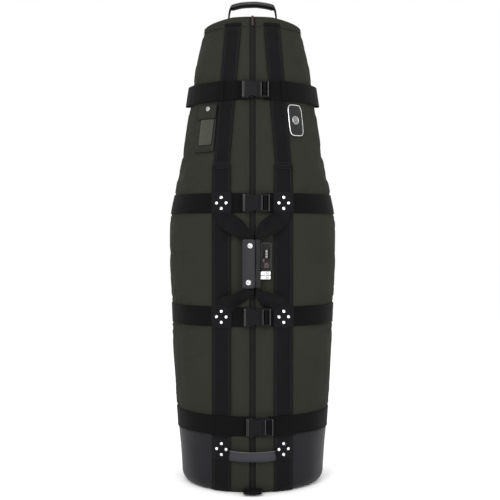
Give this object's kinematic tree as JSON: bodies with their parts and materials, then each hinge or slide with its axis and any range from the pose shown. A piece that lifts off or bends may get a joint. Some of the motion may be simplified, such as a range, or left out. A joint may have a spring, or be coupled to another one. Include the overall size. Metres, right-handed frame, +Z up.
{
  "type": "golf travel bag",
  "caption": "Tall soft travel bag for golf clubs: centre zipper, buckled compression straps, haul handles, vinyl boot and rear wheels.",
  "frame": {"origin": "on the floor, under the middle of the bag's outline", "axes": "+Z up, -Y out of the zipper side, +X to the viewer's right"},
  "size_m": [0.4404, 0.3659, 1.276],
  "materials": {
    "green_fabric": "heavy woven ballistic nylon, dark olive green",
    "black_fabric": "black woven fabric",
    "lining": "smooth dark lining",
    "foam": "foam padding",
    "stiffener": "plastic sheet",
    "black_binding": "corded binding",
    "vinyl_boot": "coated charcoal vinyl with a fine grain",
    "zipper": "woven tape with nylon coil",
    "black_plastic": "moulded, light texture",
    "buckle_plastic": "moulded acetal",
    "lock_plastic": "moulded",
    "steel": "turned",
    "nickel": "satin nickel plate",
    "webbing": "heavy woven nylon webbing",
    "clear_window": "clear vinyl",
    "badge_metal": "dark enamel with a bright rim",
    "tyre": "polyurethane",
    "hub_plastic": "glass-filled nylon",
    "black_leather": "fine grained leather",
    "brass_key": "satin",
    "dial_white": "moulded white"
  },
  "bodies": {
    "shell": {"rear_shell": "green_fabric", "rear_lining": "lining", "club_head_padding": "foam", "back_stiffener": "stiffener", "top_cap": "green_fabric", "cap_piping": "black_binding", "lower_boot": "vinyl_boot", "front_lower_panel": "green_fabric", "lower_zipper_tape": "zipper", "base_tray": "black_plastic", "wheel_housing": "black_plastic", "wheel_axles": "steel", "wheel_bearings": "steel", "skid_rails": "black_plastic", "rear_straps": "webbing", "lower_webbing": "webbing", "bottom_rivets": "nickel", "handle_anchors": "webbing"},
    "left_flap": {"left_front_panel": "green_fabric", "left_front_lining": "lining", "left_webbing": "webbing", "left_straps": "webbing", "left_zipper_tape": "zipper", "left_rivets": "nickel", "buckle_sockets": "buckle_plastic", "id_pocket": "black_fabric", "id_window": "clear_window"},
    "right_flap": {"right_front_panel": "green_fabric", "right_front_lining": "lining", "right_webbing": "webbing", "right_straps": "webbing", "right_zipper_tape": "zipper", "right_rivets": "nickel", "badge": "badge_metal", "lock_body": "lock_plastic"},
    "left_wheel": {"left_wheel_tyre": "tyre", "left_wheel_hub": "hub_plastic"},
    "right_wheel": {"right_wheel_tyre": "tyre", "right_wheel_hub": "hub_plastic"},
    "top_grab": {"top_handle": "webbing"},
    "bottom_grab": {"bottom_handle": "black_leather"},
    "left_haul": {"left_haul_handle": "webbing", "left_grip_wrap": "black_leather"},
    "right_haul": {"right_haul_handle": "webbing", "right_grip_wrap": "black_leather"},
    "snap_flap": {"grip_snap_flap": "black_leather"},
    "id_cover": {"id_flap": "black_fabric"},
    "dial_1": {"lock_dial_1": "dial_white"},
    "dial_2": {"lock_dial_2": "dial_white"},
    "dial_3": {"lock_dial_3": "dial_white"},
    "button": {"lock_button": "nickel"},
    "key": {"key_cylinder": "brass_key"},
    "upper_zip": {"upper_slider": "nickel"},
    "upper_zip_pull": {"upper_pull": "nickel"},
    "lower_zip": {"lower_slider": "nickel"},
    "lower_zip_pull": {"lower_pull": "nickel"},
    "plug_1": {"buckle_plug_1": "buckle_plastic"},
    "plug_2": {"buckle_plug_2": "buckle_plastic"},
    "plug_3": {"buckle_plug_3": "buckle_plastic"},
    "plug_4": {"buckle_plug_4": "buckle_plastic"}
  },
  "joints": [
    {"name": "left_flap_open", "type": "hinge", "parent": "shell", "child": "left_flap", "pos_m": [-0.222, 0, 0.666], "axis": [0, 0, -1], "range_deg": [0, 100]},
    {"name": "right_flap_open", "type": "hinge", "parent": "shell", "child": "right_flap", "pos_m": [0.222, 0, 0.666], "axis": [0, 0, 1], "range_deg": [0, 100]},
    {"name": "left_wheel_spin", "type": "hinge", "parent": "shell", "child": "left_wheel", "pos_m": [-0.11, 0.122, 0.04], "axis": [1, 0, 0], "continuous": true},
    {"name": "right_wheel_spin", "type": "hinge", "parent": "shell", "child": "right_wheel", "pos_m": [0.11, 0.122, 0.04], "axis": [1, 0, 0], "continuous": true},
    {"name": "top_handle_fold", "type": "hinge", "parent": "shell", "child": "top_grab", "pos_m": [0, 0, 1.214], "axis": [1, 0, 0], "range_deg": [-65, 65]},
    {"name": "bottom_handle_lift", "type": "hinge", "parent": "shell", "child": "bottom_grab", "pos_m": [0, -0.177, 0.11], "axis": [-1, 0, 0], "range_deg": [0, 75]},
    {"name": "left_haul_swing", "type": "hinge", "parent": "left_flap", "child": "left_haul", "pos_m": [-0.058, -0.178, 0.59], "axis": [0, 0, -1], "range_deg": [0, 95]},
    {"name": "right_haul_swing", "type": "hinge", "parent": "right_flap", "child": "right_haul", "pos_m": [0.058, -0.178, 0.59], "axis": [0, 0, 1], "range_deg": [0, 95]},
    {"name": "snap_flap_open", "type": "hinge", "parent": "left_haul", "child": "snap_flap", "pos_m": [-0.0245, -0.2042, 0.578], "axis": [0, 0, -1], "range_deg": [0, 150]},
    {"name": "button_push", "type": "slide", "parent": "right_flap", "child": "button", "axis": [0, 1, 0], "range_m": [0, 0.0012], "stiffness_N_per_m": 300},
    {"name": "key_turn", "type": "hinge", "parent": "right_flap", "child": "key", "pos_m": [0.0345, -0.184, 0.575], "axis": [0, 1, 0], "range_deg": [0, 90]},
    {"name": "dial_1_turn", "type": "hinge", "parent": "right_flap", "child": "dial_1", "pos_m": [0.035, -0.18, 0.597], "axis": [0, 0, 1], "continuous": true},
    {"name": "dial_2_turn", "type": "hinge", "parent": "right_flap", "child": "dial_2", "pos_m": [0.035, -0.18, 0.604], "axis": [0, 0, 1], "continuous": true},
    {"name": "dial_3_turn", "type": "hinge", "parent": "right_flap", "child": "dial_3", "pos_m": [0.035, -0.18, 0.611], "axis": [0, 0, 1], "continuous": true},
    {"name": "upper_zip_run", "type": "slide", "parent": "right_flap", "child": "upper_zip", "axis": [0, 0, 1], "range_m": [0, 0.08]},
    {"name": "lower_zip_run", "type": "slide", "parent": "right_flap", "child": "lower_zip", "axis": [0, 0, -1], "range_m": [0, 0.015]},
    {"name": "upper_pull_swing", "type": "hinge", "parent": "upper_zip", "child": "upper_zip_pull", "pos_m": [0, -0.1875, 0.557], "axis": [0, -1, 0], "range_deg": [0, 80]},
    {"name": "lower_pull_swing", "type": "hinge", "parent": "lower_zip", "child": "lower_zip_pull", "pos_m": [0, -0.1875, 0.543], "axis": [0, 1, 0], "range_deg": [0, 80]},
    {"name": "plug_1_release", "type": "slide", "parent": "right_flap", "child": "plug_1", "axis": [1, 0, 0], "range_m": [0, 0.045]},
    {"name": "plug_2_release", "type": "slide", "parent": "right_flap", "child": "plug_2", "axis": [1, 0, 0], "range_m": [0, 0.045]},
    {"name": "plug_3_release", "type": "slide", "parent": "right_flap", "child": "plug_3", "axis": [1, 0, 0], "range_m": [0, 0.045]},
    {"name": "plug_4_release", "type": "slide", "parent": "right_flap", "child": "plug_4", "axis": [1, 0, 0], "range_m": [0, 0.045]},
    {"name": "id_cover_lift", "type": "hinge", "parent": "left_flap", "child": "id_cover", "pos_m": [-0.115, -0.1214, 0.984], "axis": [-0.7572, 0.6532, 0], "range_deg": [0, 100]}
  ]
}
